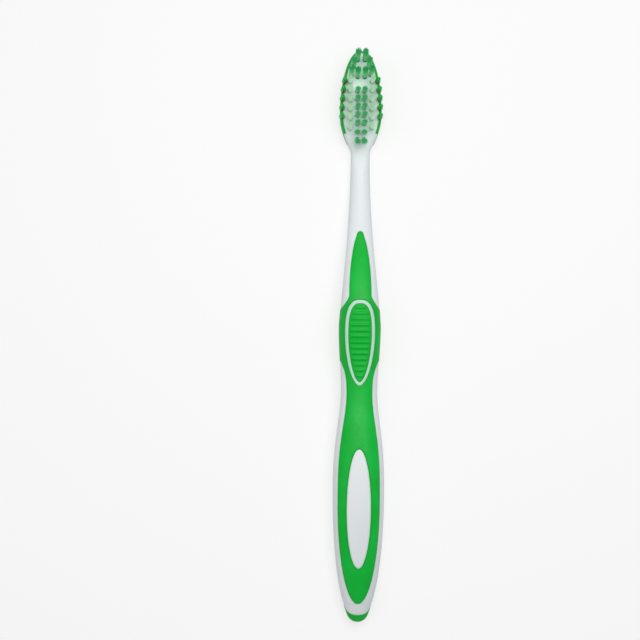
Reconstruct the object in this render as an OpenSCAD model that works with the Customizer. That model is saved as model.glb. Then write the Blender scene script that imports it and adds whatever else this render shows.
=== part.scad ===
// Manual toothbrush lying on its back: a hard white handle core with soft green overmouldings,
// tufts of nylon filaments held by metal anchors in blind holes, and a tongue cleaner.
// Y runs from the tail to the tip of the head, Z points out of the bristle side, X is the width.
// Lengths are in millimetres. Until the last step y is measured from the end of the tail.

/* [Overall] */
// Length from the end of the tail to the tip of the head
overall_l = 188; // [183:0.5:193]
// Depth of the two flats that the brush rests on
rest_flat = 0.15; // [0.1:0.05:0.3]

/* [Grip] */
// Width of the grip
grip_w = 16.9; // [15.5:0.1:18]
// Thickness of the grip
grip_t = 14; // [12.5:0.1:15]
// Place of the widest part of the grip, as a share of the handle from tail to neck
grip_share = 0.297; // [0.27:0.003:0.324]
// Height of the centre of the tail's end above the surface
tail_rise = 4.7; // [4.2:0.1:5.5]

/* [Waist and thumb rest] */
// Width of the waist between the grip and the thumb rest
waist_w = 11.9; // [11:0.1:13]
// Thickness of the handle at its thinnest below the thumb rest
waist_t = 8.7; // [8:0.1:9.5]
// Place of the waist, as a share of the handle
waist_share = 0.517; // [0.5:0.003:0.533]
// Height of the handle's centre where its bend starts
waist_rise = 7.3; // [6.8:0.1:7.8]
// Width of the thumb rest
thumb_w = 13.5; // [12.8:0.1:14.2]
// Thickness of the thumb rest
thumb_t = 9.9; // [9:0.1:11]
// Place of the widest part of the thumb rest, as a share of the handle
thumb_share = 0.655; // [0.643:0.003:0.67]
// Height of the handle's centre at the top of its bend
bend_rise = 10.8; // [10:0.1:11.5]

/* [Neck and head] */
// Width of the neck
neck_w = 6.2; // [5.6:0.1:7]
// Thickness of the neck
neck_t = 5.9; // [5.3:0.1:6.4]
// Distance from the bristle face to the thinnest part of the neck
neck_to_head = 10; // [8:0.5:12]
// Width of the head
head_w = 13.6; // [12.8:0.1:14.4]
// Length of the head's flat bristle face
head_l = 30; // [29:0.5:31]
// Distance from the tip to the widest part of the head
head_wide_from_tip = 20.5; // [19.5:0.5:21.5]
// Thickness of the head at its nose
nose_t = 6; // [5.6:0.1:6.4]
// Thickness of the head over the tongue cleaner
head_t = 4.9; // [4.7:0.1:5.2]
// Height of the bristle face at its lower end
head_rise = 6.4; // [6.3:0.1:6.8]
// Slope of the bristle face towards the tip, in degrees
head_slope = 3.6; // [3:0.2:4.6]

/* [Soft overmouldings] */
// Thickness of the soft skin on the handle
skin_t = 1; // [0.8:0.1:1.3]
// Length of solid soft material at the end of the tail
cap_t = 2.5; // [2:0.1:3.5]
// Distance from the tail to the start of the front panel
panel_start = 6.5; // [5:0.1:8]
// Place of the end of the front panel, as a share of the handle
panel_end_share = 0.87; // [0.84:0.005:0.89]
// Width of the front panel on the grip
panel_grip_w = 13.8; // [12.8:0.1:14.4]
// Width of the front panel at the waist
panel_waist_w = 8.5; // [7.8:0.1:9.2]
// Width of the front panel beyond the thumb rest
panel_neck_w = 7.3; // [6.6:0.1:8]
// Height of the back panel's edge above the back of the grip
back_band = 1.7; // [1.4:0.1:2]
// Width of the strip down the back of the neck, as a share of the neck
strip_share = 0.68; // [0.5:0.02:0.8]
// Thickness of the soft rim round the bristle face
rim_t = 0.8; // [0.6:0.05:0.9]
// Thickness of the soft skin behind the hard head plate
head_skin = 0.6; // [0.5:0.05:0.8]

/* [Windows and thumb pad] */
// Length of the oval window on the grip
oval_l = 39; // [36:0.2:42]
// Width of the oval window on the grip
oval_w = 7.9; // [7:0.1:9]
// Place of the middle of the oval window, as a share of the handle
oval_share = 0.258; // [0.246:0.002:0.27]
// Width of the egg-shaped ring round the thumb pad
ring_w = 9.8; // [9.2:0.1:10.4]
// Place of the widest part of the ring, as a share of the handle
ring_share = 0.642; // [0.634:0.001:0.648]
// Length of the ring from its widest part towards the head
ring_up = 11.1; // [10.4:0.1:11.8]
// Length of the ring from its widest part towards the tail
ring_down = 16.7; // [15.6:0.1:17.6]
// Breadth of the ring's line
ring_line = 1.05; // [0.9:0.05:1.3]
// Number of ribs on the thumb pad
thumb_ribs = 13; // [9:1:14]
// Distance between ribs on the thumb pad
thumb_rib_pitch = 1.85; // [1.7:0.01:1.95]
// Height of a rib on the thumb pad
thumb_rib_h = 0.35; // [0.2:0.05:0.5]

/* [Back ribs] */
// Number of crescent ribs on the back of the thumb rest
back_ribs = 8; // [5:1:8]
// Distance between crescent ribs
back_rib_pitch = 2.8; // [2.6:0.05:3]
// Height of a crescent rib
back_rib_h = 0.55; // [0.3:0.05:0.7]
// Number of fine ridges on the back of the grip
grip_ridges = 7; // [4:1:8]
// Distance between fine ridges
grip_ridge_pitch = 2.6; // [2.3:0.1:2.8]
// Height of a fine ridge
grip_ridge_h = 0.3; // [0.2:0.05:0.4]

/* [Tongue cleaner and fingers] */
// Length of the tongue cleaner
pad_l = 21.4; // [20:0.1:22]
// Thickness of the tongue cleaner
pad_t = 1.5; // [1.3:0.1:1.5]
// Number of nubs along each side of the tongue cleaner
pad_nubs = 7; // [4:1:7]
// Number of massage fingers on each side of the head
fingers = 5; // [3:1:6]
// Distance between massage fingers
finger_pitch = 2.88; // [2.6:0.02:3]
// Height of a massage finger above the bristle face
finger_h = 7.5; // [6:0.1:8]
// Thickness of a massage finger at its root
finger_d = 1.64; // [1.4:0.02:1.8]

/* [Tufts] */
// Diameter of a tuft hole
hole_d = 1.6; // [1.5:0.02:1.7]
// Depth of a tuft hole
hole_depth = 3.4; // [3:0.1:3.6]
// Height of the flat trim above the bristle face
trim_h = 8.7; // [8:0.1:9.5]
// Rise of the trim towards the tip for each millimetre along the face
tip_trim_rise = 0.23; // [0.1:0.01:0.3]
// Number of strands drawn in each tuft's outer circle
strands_out = 7; // [6:1:8]
// Number of strands drawn in each tuft's middle
strands_in = 3; // [3:1:4]
// Thickness of a drawn strand
strand_d = 0.34; // [0.28:0.01:0.35]
// Number of tufts in each outer row
outer_tufts = 6; // [5:1:6]
// Distance from the middle of the head to an outer row
outer_x = 3.62; // [3.5:0.02:3.8]
// Number of tufts in each inner row
inner_tufts = 5; // [3:1:5]
// Distance from the middle of the head to an inner row
inner_x = 1.13; // [1.05:0.01:1.2]
// Thickness of a tuft anchor
anchor_t = 0.22; // [0.16:0.02:0.26]
// Height of a tuft anchor
anchor_h = 1.5; // [1.2:0.1:1.8]

/* [Hidden] */
green = [0.02, 0.66, 0.22];
deep_green = [0.02, 0.55, 0.17];
porcelain = [0.93, 0.94, 0.95];
pale_nylon = [0.78, 0.87, 0.80];
green_nylon = [0.20, 0.70, 0.45];
brass = [0.80, 0.66, 0.36];

overrun = 25;
seat_gap = 0.02;
end_blunt = 0.35;
// Radius of the tail's blunt end, seen from the front and from the side
tail_round_w = 3.4;
tail_round_t = 2.2;
sides = 16;

// Places along the brush. Those on the handle are shares of its length from the tail to the neck
head_y = overall_l - head_l;
neck_y = head_y - neck_to_head;
shoulder_lead = 2.8;
shoulder_y = head_y - shoulder_lead;
head_wide_y = overall_l - head_wide_from_tip;
bend_start_share = 0.473;
thin_share = 0.568;
thumb_deep_share = 0.689;
bend_top_share = 0.706;
throat_share = 0.905;
grip_y = grip_share * neck_y;
waist_y = waist_share * neck_y;
thumb_y = thumb_share * neck_y;
bend_start_y = bend_start_share * neck_y;
thin_y = thin_share * neck_y;
thumb_deep_y = thumb_deep_share * neck_y;
bend_top_y = bend_top_share * neck_y;
throat_y = throat_share * neck_y;
throat_t = 6.5;
square_lead = 2;
square_lag = 3;
square_from_y = neck_y - square_lead;
square_to_y = head_y + square_lag;
handle_power = 2.4;
head_power = 6;
nose_round = 1.3;

// Each row is a place along the handle, the size there, and how early the change to the next size
// comes: under 1 it comes early, above 1 late
width_stations = [
  [grip_y, grip_w, 1.34],
  [waist_y, waist_w, 1],
  [thumb_y, thumb_w, 0.7],
  [shoulder_y, neck_w, 0.64],
  [head_wide_y, head_w, 1]
];
thickness_stations = [
  [grip_y, grip_t, 1.1],
  [thin_y, waist_t, 1],
  [thumb_deep_y, thumb_t, 1.25],
  [throat_y, throat_t, 1],
  [neck_y, neck_t, 1]
];
centre_stations = [
  [0, tail_rise, 0.62],
  [grip_y, grip_t / 2 - rest_flat, 1],
  [bend_start_y, waist_rise, 1],
  [bend_top_y, bend_rise, 0.84],
  [neck_y, neck_t / 2 - rest_flat, 1]
];

function ease(t) = t * t * (3 - 2 * t);
function clamp(v, low, high) = min(max(v, low), high);
function between(y, a, b) =
  a[1] + (b[1] - a[1]) * ease(pow(clamp((y - a[0]) / (b[0] - a[0]), 0, 1), a[2]));
// The size at y from a table of stations
function station(table, y, i = 0) =
  i >= len(table) - 2 || y < table[i + 1][0]
    ? between(y, table[i], table[i + 1])
    : station(table, y, i + 1);
// Share of full size at a rounded end, where t is 0 at the end and 1 where the rounding stops
function rounded(t, bow = 2, power = 2) =
  pow(1 - pow(1 - clamp(t, 0, 1), bow), 1 / power);

// The larger of two sizes, with a smooth change from one to the other
blend_power = 12;
function larger(a, b) = pow(pow(a, blend_power) + pow(b, blend_power), 1 / blend_power);
function blunt_end(r, y) = r * rounded(y / r);

function half_w(y) =
  y < grip_y ? let(d = max(y, end_blunt))
    larger(blunt_end(tail_round_w, d), grip_w / 2 * rounded(d / grip_y, 2.2, 2.1))
  : y > head_wide_y ? head_w / 2 * rounded(max(overall_l - y, end_blunt) / head_wide_from_tip, 2, 2.2)
  : station(width_stations, y) / 2;
function half_t(y) =
  y < grip_y ? let(d = max(y, end_blunt))
    larger(blunt_end(tail_round_t, d), grip_t / 2 * rounded(d / grip_y, 1.8))
  : station(thickness_stations, y) / 2;
function centre_z(y) = station(centre_stations, y);

// The nose is rounded off over the last stretch before the tip
function nose_cut(y) =
  let(d = overall_l - y)
  d > nose_round ? 0 : nose_round - sqrt(pow(nose_round, 2) - pow(nose_round - d, 2));
function face_z(y) = head_rise + tan(head_slope) * (y - head_y);
function into_head(y) = ease(clamp((y - neck_y) / (head_y - neck_y), 0, 1));
function front_z(y) =
  let(k = into_head(y))
  (1 - k) * (centre_z(y) + half_t(y)) + k * face_z(y) - nose_cut(y);
function back_z(y) =
  let(k = into_head(y))
  (1 - k) * (centre_z(y) - half_t(y)) + k * (face_z(y) - nose_t) + nose_cut(y);
function middle_z(y) = (front_z(y) + back_z(y)) / 2;
function section_power(y) =
  let(k = ease(clamp((y - square_from_y) / (square_to_y - square_from_y), 0, 1)))
  handle_power + (head_power - handle_power) * k;

// One closed section of the body at y, drawn in by inset and cut flat where it would sink into the
// surface. Its flat sides, not its corners, lie on the full width and thickness
function signed_power(v, p) = (v < 0 ? -1 : 1) * pow(abs(v), p);
function section(y, inset = 0) =
  let(
    p = 2 / section_power(y),
    swell = 1 / pow(cos(180 / sides), p),
    a = (half_w(y) - inset) * swell,
    h = ((front_z(y) - back_z(y)) / 2 - inset) * swell
  )
  [for (i = [0:sides - 1]) let(turn = 360 * (i + 0.5) / sides)
    [a * signed_power(cos(turn), p), y, max(inset, middle_z(y) + h * signed_power(sin(turn), p))]];
// Height of the body's surface at x and y, on the front for face 1 and on the back for face -1
edge_share = 0.98;
function surface_z(x, y, face) =
  let(p = section_power(y), s = clamp(abs(x) / half_w(y), 0, edge_share))
  middle_z(y) + face * (front_z(y) - back_z(y)) / 2 * pow(1 - pow(s, p), 1 / p);

tail_steps = 8;
handle_steps = 18;
shoulder_steps = 7;
nose_steps = 6;
body_stations = [
  for (i = [0:tail_steps - 1]) grip_y * (1 - cos(90 * i / tail_steps)),
  for (i = [0:handle_steps - 1]) grip_y + (shoulder_y - grip_y) * i / handle_steps,
  for (i = [0:shoulder_steps - 1]) shoulder_y + (head_wide_y - shoulder_y) * i / shoulder_steps,
  for (i = [0:nose_steps]) head_wide_y + head_wide_from_tip * sin(90 * i / nose_steps)
];
strip_lap = 1.5;
handle_stations = [for (y = body_stations) if (y > cap_t + end_blunt && y < head_y) y];
inner_stations = [
  cap_t,
  for (i = [0:2:len(handle_stations) - 1]) handle_stations[i],
  head_y + strip_lap
];
// The stations from one place to another, with one more at each end
function stretch(stations, from, to) =
  let(last = len(stations) - 1)
  [for (i = [0:last]) if (stations[min(i + 1, last)] >= from && stations[max(i - 1, 0)] <= to) stations[i]];

// A closed solid through a list of rings with the same number of points
module loft(rings) {
  n = len(rings[0]);
  last = (len(rings) - 1) * n;
  walls = [for (k = [0:len(rings) - 2], i = [0:n - 1])
    let(a = k * n + i, b = k * n + (i + 1) % n)
    each [[a, b + n, a + n], [a, b, b + n]]];
  ends = [[for (i = [n - 1:-1:0]) i], [for (i = [0:n - 1]) last + i]];
  polyhedron(points = [for (r = rings) each r], faces = concat(ends, walls), convexity = 10);
}
// Everything is measured from the tail, and the finished part stands on its middle
module placed() {
  translate([0, -overall_l / 2, 0]) children();
}
// A side-view outline in y and z, pushed through the whole width
module through_side() {
  rotate([90, 0, 90]) linear_extrude(2 * overrun, center = true) children();
}
// The frame of the bristle face: u runs along it from its lower end, w out of it
face_l = head_l / cos(head_slope);
module on_face() {
  translate([0, head_y, head_rise]) rotate([head_slope, 0, 0]) children();
}
function face_half_w(u) = half_w(head_y + u * cos(head_slope));

module body(from = 0, to = overall_l) {
  loft([for (y = stretch(body_stations, from, to)) section(y)]);
}
module body_inside(from = 0, to = overall_l) {
  loft([for (y = stretch(inner_stations, from, to)) section(y, skin_t)]);
}

// Half width of the front panel: round at both ends, and flared to full width round the thumb rest
panel_grip_share = 0.27;
panel_waist_share = 0.507;
flare_start_share = 0.516;
flare_full_share = 0.631;
flare_back_share = 0.663;
panel_round_share = 0.723;
flare_end_share = 0.729;
panel_grip_y = panel_grip_share * neck_y;
panel_waist_y = panel_waist_share * neck_y;
flare_start_y = flare_start_share * neck_y;
flare_full_y = flare_full_share * neck_y;
flare_back_y = flare_back_share * neck_y;
panel_round_y = panel_round_share * neck_y;
flare_end_y = flare_end_share * neck_y;
panel_end = panel_end_share * neck_y;
lower_flare_power = 2.5;
upper_flare_power = 1.3;
full_width = 12;
panel_tip_r = 1.1;
panel_tip_power = 1.78;
function flare(t, power) = pow(clamp(t, 0, 1), power) * (full_width - panel_waist_w / 2);
function panel_half(y) =
  y < panel_grip_y ? panel_grip_w / 2 * rounded((y - panel_start) / (panel_grip_y - panel_start))
  : y < flare_back_y ? between(y, [panel_grip_y, panel_grip_w / 2, 1.7], [panel_waist_y, panel_waist_w / 2])
    + flare((y - flare_start_y) / (flare_full_y - flare_start_y), lower_flare_power)
  : larger(
      blunt_end(panel_tip_r, panel_end - y),
      panel_neck_w / 2 * rounded((panel_end - y) / (panel_end - panel_round_y), 2, panel_tip_power)
    )
    + flare((flare_end_y - y) / (flare_end_y - flare_back_y), upper_flare_power);
panel_steps = 5;
function evenly(from, to, steps) = [for (i = [0:steps - 1]) from + (to - from) * i / steps];
panel_outline = [
  for (i = [0:panel_steps - 1]) panel_start + (panel_grip_y - panel_start) * (1 - cos(90 * i / panel_steps)),
  each evenly(panel_grip_y, flare_start_y, panel_steps),
  each evenly(flare_start_y, flare_full_y, panel_steps),
  each evenly(flare_full_y, flare_back_y, 1),
  each evenly(flare_back_y, flare_end_y, panel_steps),
  for (i = [0:panel_steps]) flare_end_y + (panel_end - flare_end_y) * sin(90 * i / panel_steps)
];

// Everything on one side of the handle's middle: the front for face 1, the back for face -1
module half_zone(face) {
  through_side() polygon([
    for (y = body_stations) [y, middle_z(y)],
    [overall_l, face * overrun],
    [0, face * overrun]
  ]);
}
module front_panel_zone() {
  intersection() {
    linear_extrude(overrun) polygon([
      for (y = panel_outline) [panel_half(y), y],
      for (i = [len(panel_outline) - 2:-1:1]) [-panel_half(panel_outline[i]), panel_outline[i]]
    ]);
    half_zone(1);
  }
}

// The soft back of the handle seen from the side: the tail cap's edge, the band along the grip, the end
// of the side window, and the edge of the sleeve beyond the thumb rest
cap_edge_y = 13.7;
window_end_share = 0.584;
window_end_y = window_end_share * neck_y;
window_round = 9;
sleeve_edge_share = 0.694;
sleeve_edge_y = sleeve_edge_share * neck_y;
sleeve_round = 4.9;
waist_lap = 1;
cap_edge_shares = [[0.02, 1], [0.1, 0.75], [0.2, 0.62], [0.38, 0.45], [0.5, 0.3], [0.7, 0.19]];
function band_z(y) = back_z(y) + back_band;
function window_back_z(y) =
  let(t = (y - (window_end_y - window_round)) / window_round)
  middle_z(y) - (middle_z(y) - band_z(y)) * sqrt(1 - pow(clamp(t, 0, 1), 2));
module sleeve_back_zone() {
  waist_from = window_end_y + waist_lap;
  waist_to = sleeve_edge_y - waist_lap;
  round_from = window_end_y - window_round;
  cap_back = back_z(cap_edge_y);
  cap_high = front_z(cap_edge_y) - cap_back;
  sleeve_z = middle_z(sleeve_edge_y);
  through_side() polygon([
    [-overrun, -overrun],
    [-overrun, overrun],
    [cap_edge_shares[0][0] * cap_edge_y, overrun],
    for (s = cap_edge_shares) [s[0] * cap_edge_y, s[1] * cap_high + cap_back],
    for (y = evenly(cap_edge_y, round_from, 9)) [y, window_back_z(y)],
    for (i = [0:6]) let(y = round_from + window_round * sin(90 * i / 6)) [y, window_back_z(y)],
    for (y = [each evenly(waist_from, waist_to, 3), waist_to]) [y, middle_z(y) + waist_lap],
    for (i = [0:6]) let(turn = 90 * i / 6)
      [sleeve_edge_y + sleeve_round * (1 - cos(turn)), sleeve_z - sleeve_round * sin(turn)],
    [sleeve_edge_y + sleeve_round, -overrun]
  ]);
}

// An egg outline round ring_y, drawn in by inset
ring_y = ring_share * neck_y;
oval_y = oval_share * neck_y;
ring_up_power = 2.7;
ring_down_power = 1.8;
module egg(inset = 0) {
  steps = 28;
  translate([0, ring_y]) polygon([for (i = [0:steps - 1])
    let(turn = 360 * i / steps, up = sin(turn) > 0, p = 2 / (up ? ring_up_power : ring_down_power))
    [(ring_w / 2 - inset) * signed_power(cos(turn), p),
      ((up ? ring_up : ring_down) - inset) * signed_power(sin(turn), p)]]);
}
module oval_window() {
  translate([0, oval_y]) scale([oval_w / oval_l, 1]) circle(d = oval_l, $fn = 28);
}
module sleeve_zone() {
  difference() {
    union() {
      front_panel_zone();
      sleeve_back_zone();
    }
    intersection() {
      linear_extrude(overrun) {
        egg();
        oval_window();
      }
      half_zone(1);
    }
  }
}
module thumb_zone() {
  intersection() {
    linear_extrude(overrun) egg(ring_line);
    half_zone(1);
  }
}

// The strip down the back of the neck, round at its lower end
strip_start_share = 0.745;
strip_start_y = strip_start_share * neck_y;
strip_round = 3;
module strip_zone() {
  steps = 12;
  strip_end_y = head_y + strip_lap / 2;
  function strip_half(y) = strip_share * half_w(y) * rounded((y - strip_start_y) / strip_round);
  stations = [for (i = [0:steps]) strip_start_y + (strip_end_y - strip_start_y) * pow(i / steps, 1.6)];
  intersection() {
    translate([0, 0, -overrun]) linear_extrude(2 * overrun) polygon([
      for (y = stations) [strip_half(y), y],
      for (i = [steps:-1:1]) [-strip_half(stations[i]), stations[i]]
    ]);
    half_zone(-1);
  }
}

// A low rib across the body: a thin tube that follows the surface and thins out at its ends
rib_steps = 4;
rib_sides = 6;
rib_end_share = 0.3;
function rib_ring(y, x, face, r, lift) =
  [for (i = [0:rib_sides - 1]) let(turn = 360 * i / rib_sides)
    [x, y + r * sin(turn), max(0, surface_z(x, y, face) + face * lift + r * cos(turn))]];
module rib(y, reach, face, r, h) {
  loft([for (i = [0:rib_steps])
    let(s = -cos(180 * i / rib_steps), thin = max(rib_end_share, sqrt(1 - s * s)))
    rib_ring(y, s * reach, face, r * thin, (h - r) * thin)]);
}

module grip_sleeve() {
  back_rib_set = 1.2;
  first_back_rib_y = sleeve_edge_y - back_rib_set;
  first_ridge_share = 0.439;
  first_ridge_y = first_ridge_share * neck_y;
  crescent_r = 1.1;
  ridge_r = 0.7;
  crescent_share = 0.86;
  ridge_share = 0.4;
  color(green) placed() difference() {
    union() {
      intersection() {
        body(0, panel_end);
        sleeve_zone();
      }
      for (i = [0:back_ribs - 1]) {
        y = first_back_rib_y - i * back_rib_pitch;
        rib(y, crescent_share * half_w(y), -1, crescent_r, back_rib_h);
      }
      for (i = [0:grip_ridges - 1]) {
        y = first_ridge_y - i * grip_ridge_pitch;
        rib(y, ridge_share * half_w(y), -1, ridge_r, grip_ridge_h);
      }
    }
    body_inside(0, panel_end);
  }
}

module thumb_pad() {
  rib_set = 2.4;
  first_rib_y = ring_y + ring_up - rib_set;
  rib_r = 0.62;
  rib_inset = 0.35;
  function egg_half(y) =
    let(
      up = y > ring_y,
      l = (up ? ring_up : ring_down) - ring_line,
      p = up ? ring_up_power : ring_down_power
    )
    (ring_w / 2 - ring_line) * pow(1 - pow(clamp(abs(y - ring_y) / l, 0, 1), p), 1 / p);
  color(green) placed() difference() {
    union() {
      intersection() {
        body(ring_y - ring_down, ring_y + ring_up);
        thumb_zone();
      }
      for (i = [0:thumb_ribs - 1]) {
        y = first_rib_y - i * thumb_rib_pitch;
        if (egg_half(y) > 3 * rib_inset) rib(y, egg_half(y) - rib_inset, 1, rib_r, thumb_rib_h);
      }
    }
    body_inside(ring_y - ring_down, ring_y + ring_up);
  }
}

// Where the soft surround takes over from the hard neck, seen from the side
surround_lead = 0.3;
surround_lap = 3.3;
surround_edge_shares = [[1, 4], [1, 0.75], [0.9, 0.62], [0.55, 0.47], [0.16, 0.31], [0, 0.16], [0, -4]];
module head_zone() {
  y0 = head_y - surround_lead;
  through_side() polygon([
    for (s = surround_edge_shares) [y0 + s[0] * surround_lap, back_z(y0) + s[1] * nose_t],
    [overall_l + overrun, back_z(y0) - 4 * nose_t],
    [overall_l + overrun, back_z(y0) + 4 * nose_t]
  ]);
}

first_finger_from_tip = 10;
finger_set = 0.5;
finger_sides = 13;
function finger_u(i) = face_l - first_finger_from_tip - i * finger_pitch;
function finger_x(i) = face_half_w(finger_u(i)) - finger_set;
module finger_places() {
  for (side = [-1, 1], i = [0:fingers - 1]) translate([side * finger_x(i), finger_u(i)]) children();
}
// The hard plate inside the soft surround, notched where the massage fingers stand
module head_plate() {
  steps = 16;
  plate_start = -5;
  stations = [for (i = [0:steps]) plate_start + (face_l - rim_t - plate_start) * sin(90 * i / steps)];
  function plate_half(u) = face_half_w(u) - rim_t;
  on_face() translate([0, 0, head_skin - head_t]) linear_extrude(overrun) difference() {
    polygon([
      for (u = stations) [plate_half(u), u],
      for (i = [steps:-1:0]) [-plate_half(stations[i]), stations[i]]
    ]);
    finger_places() circle(d = finger_d, $fn = finger_sides);
  }
}

pad_end_gap = 0.2;
pad_start = 0.9;
module pad_seat() {
  on_face() translate([-overrun, pad_start - pad_end_gap, -head_t - overrun])
    cube([2 * overrun, pad_l + 2 * pad_end_gap, overrun]);
}
pad_inset = 0.5;
pad_corner = 1.6;
pad_lip = 0.3;
pad_nub_r = 0.72;
pad_nub_set = 2;
pad_nub_pitch = (pad_l - 2 * pad_nub_set) / (pad_nubs - 1);
function nub_u(i) = pad_start + pad_nub_set + i * pad_nub_pitch;
module pad_outline(inset = 0) {
  steps = 8;
  offset(r = pad_corner) offset(delta = -pad_corner - inset) polygon([
    for (i = [0:steps]) let(u = pad_start + pad_l * i / steps) [face_half_w(u) - pad_inset, u],
    for (i = [steps:-1:0]) let(u = pad_start + pad_l * i / steps) [pad_inset - face_half_w(u), u]
  ]);
}
module tongue_cleaner() {
  groove_depth = 0.4;
  groove_w = 1.3;
  color(deep_green) placed() on_face() difference() {
    union() {
      translate([0, 0, -head_t - pad_t + pad_lip]) linear_extrude(pad_t - pad_lip) {
        pad_outline($fn = 16);
        for (side = [-1, 1], i = [0:pad_nubs - 1]) {
          u = nub_u(i);
          translate([side * (face_half_w(u) - pad_nub_r), u]) circle(r = pad_nub_r, $fn = 12);
        }
      }
      translate([0, 0, -head_t - pad_t]) linear_extrude(pad_t) pad_outline(pad_lip, $fn = 16);
    }
    for (i = [0:pad_nubs - 2]) {
      u = nub_u(i + 0.5);
      translate([-full_width, u - groove_w / 2, -head_t - pad_t - overrun])
        cube([2 * full_width, groove_w, overrun + groove_depth]);
    }
  }
}

module finger() {
  root = 1;
  finger_tip_share = 0.82;
  tip_shares = [[0.72, 0.97], [0, 1]];
  rotate_extrude($fn = finger_sides) polygon([
    [0, -root],
    [finger_d / 2, -root],
    [finger_tip_share * finger_d / 2, finger_h - finger_d / 2],
    for (s = tip_shares) [s[0] * finger_tip_share * finger_d / 2, s[1] * finger_h]
  ]);
}
module head_surround() {
  color(green) placed() {
    difference() {
      intersection() {
        body(strip_start_y);
        union() {
          difference() {
            head_zone();
            head_plate();
          }
          difference() {
            strip_zone();
            body_inside(strip_start_y);
          }
        }
      }
      pad_seat();
    }
    on_face() finger_places() finger();
  }
}

// Tip tufts in pairs: distance from the tip as a share of the inner rows' distance, distance from the
// middle as a share of half the head, and lean towards the tip in degrees
tip_tuft_shares = [[0.23, 0.176, 9], [0.413, 0.368, 9], [0.6, 0.478, 9], [0.65, 0.169, 10]];
// Lean of the two pairs of heel tufts, which carry the inner rows on
heel_leans = [-4.5, -8];
first_outer_from_tip = 10;
last_outer_from_heel = 5;
first_inner_from_tip = 13.2;
last_inner_from_heel = 1;
outer_pitch = (face_l - first_outer_from_tip - last_outer_from_heel) / (outer_tufts - 1);
inner_pitch = (face_l - first_inner_from_tip - last_inner_from_heel) / (inner_tufts + len(heel_leans) - 1);
function inner_u(i) = face_l - first_inner_from_tip - i * inner_pitch;
// Each tuft is its name, its place x and u, its lean and its colour
tip_rows = [for (i = [0:len(tip_tuft_shares) - 1], side = [-1, 1])
  let(s = tip_tuft_shares[i], n = 2 * i + (side + 3) / 2)
  [str("tip_tuft_", n), side * s[1] * head_w / 2, face_l - s[0] * first_inner_from_tip, s[2], green_nylon]];
outer_rows = [for (side = [-1, 1], i = [0:outer_tufts - 1])
  [str(side < 0 ? "outer_tuft_left_" : "outer_tuft_right_", i + 1), side * outer_x,
    face_l - first_outer_from_tip - i * outer_pitch, 0, pale_nylon]];
inner_rows = [for (side = [-1, 1], i = [0:inner_tufts - 1])
  [str(side < 0 ? "inner_tuft_left_" : "inner_tuft_right_", i + 1), side * inner_x, inner_u(i), 0, green_nylon]];
heel_rows = [for (i = [0:len(heel_leans) - 1], side = [-1, 1])
  [str("heel_tuft_", 2 * i + (side + 3) / 2), side * inner_x, inner_u(inner_tufts + i), heel_leans[i], green_nylon]];
TUFTS = concat(tip_rows, outer_rows, inner_rows, heel_rows);

// The frame of one tuft: its axis is z, and 0 is on the bristle face
module at_tuft(t) {
  on_face() translate([t[1], t[2], 0]) rotate([-t[3], 0, 0]) children();
}
module tuft_holes() {
  for (t = TUFTS) at_tuft(t) translate([0, 0, -hole_depth])
    cylinder(d = hole_d, h = hole_depth + overrun, $fn = 13);
}
anchor_from_bottom = 0.5;
anchor_w = sqrt(pow(hole_d, 2) - pow(anchor_t, 2));
module anchor(gap = 0) {
  translate([0, 0, anchor_from_bottom - hole_depth + anchor_h / 2])
    cube([anchor_w - 2 * seat_gap + 2 * gap, anchor_t + 2 * gap, anchor_h + 2 * gap], center = true);
}
module tuft_anchors() {
  color(brass) placed() for (t = TUFTS) at_tuft(t) anchor();
}

// Length of a strand that starts v along the face from its tuft's axis, up to the trim
trim_knee_from_tip = 8.1;
trim_knee = face_l - trim_knee_from_tip;
function strand_l(t, v) =
  let(k = t[2] > trim_knee ? tip_trim_rise : 0)
  (trim_h + k * (t[2] + v - trim_knee)) / (cos(t[3]) - k * sin(t[3]));
strand_root = 0.5;
strand_gap = 0.03;
plug_d = hole_d - 2 * seat_gap;
plug_sides = 8;
module strands(t, count, r) {
  for (i = [0:count - 1]) {
    turn = 360 * (i + 0.5) / count;
    l = strand_l(t, r * sin(turn));
    translate([r * cos(turn), r * sin(turn), -strand_root]) rotate(turn)
      cylinder(d = strand_d, h = l + strand_root, $fn = 3);
  }
}
module tuft(t) {
  color(t[4]) placed() at_tuft(t) {
    difference() {
      translate([0, 0, -hole_depth]) cylinder(d = plug_d, h = hole_depth, $fn = plug_sides);
      anchor(seat_gap);
    }
    strands(t, strands_out, (plug_d * cos(180 / plug_sides) - strand_d) / 2 - strand_gap);
    strands(t, strands_in, (strand_d + strand_gap) / 2 / sin(180 / strands_in));
  }
}

module handle_core() {
  color(porcelain) placed() difference() {
    body();
    difference() {
      union() {
        sleeve_zone();
        thumb_zone();
        strip_zone();
      }
      body_inside();
    }
    difference() {
      head_zone();
      head_plate();
    }
    pad_seat();
    tuft_holes();
  }
}

handle_core();
grip_sleeve();
thumb_pad();
head_surround();
tongue_cleaner();
tuft_anchors();
for (t = TUFTS) tuft(t);
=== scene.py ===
# %% [markdown]
# # A manual toothbrush in hard and soft plastic
#
# The brush is one hard white moulding with softer green plastic moulded over it in a second step, and
# 34 bundles of nylon filaments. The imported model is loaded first. It is the fixed frame: it gives the
# real size and the place of every piece, and each piece that is made here takes over from one of its
# nodes. The brush lies on its back, its head towards +Y and its bristles towards +Z.

# %% Load the frame
import math
import random
from functools import lru_cache

import bmesh
import bpy
from mathutils import Matrix, Vector


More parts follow.
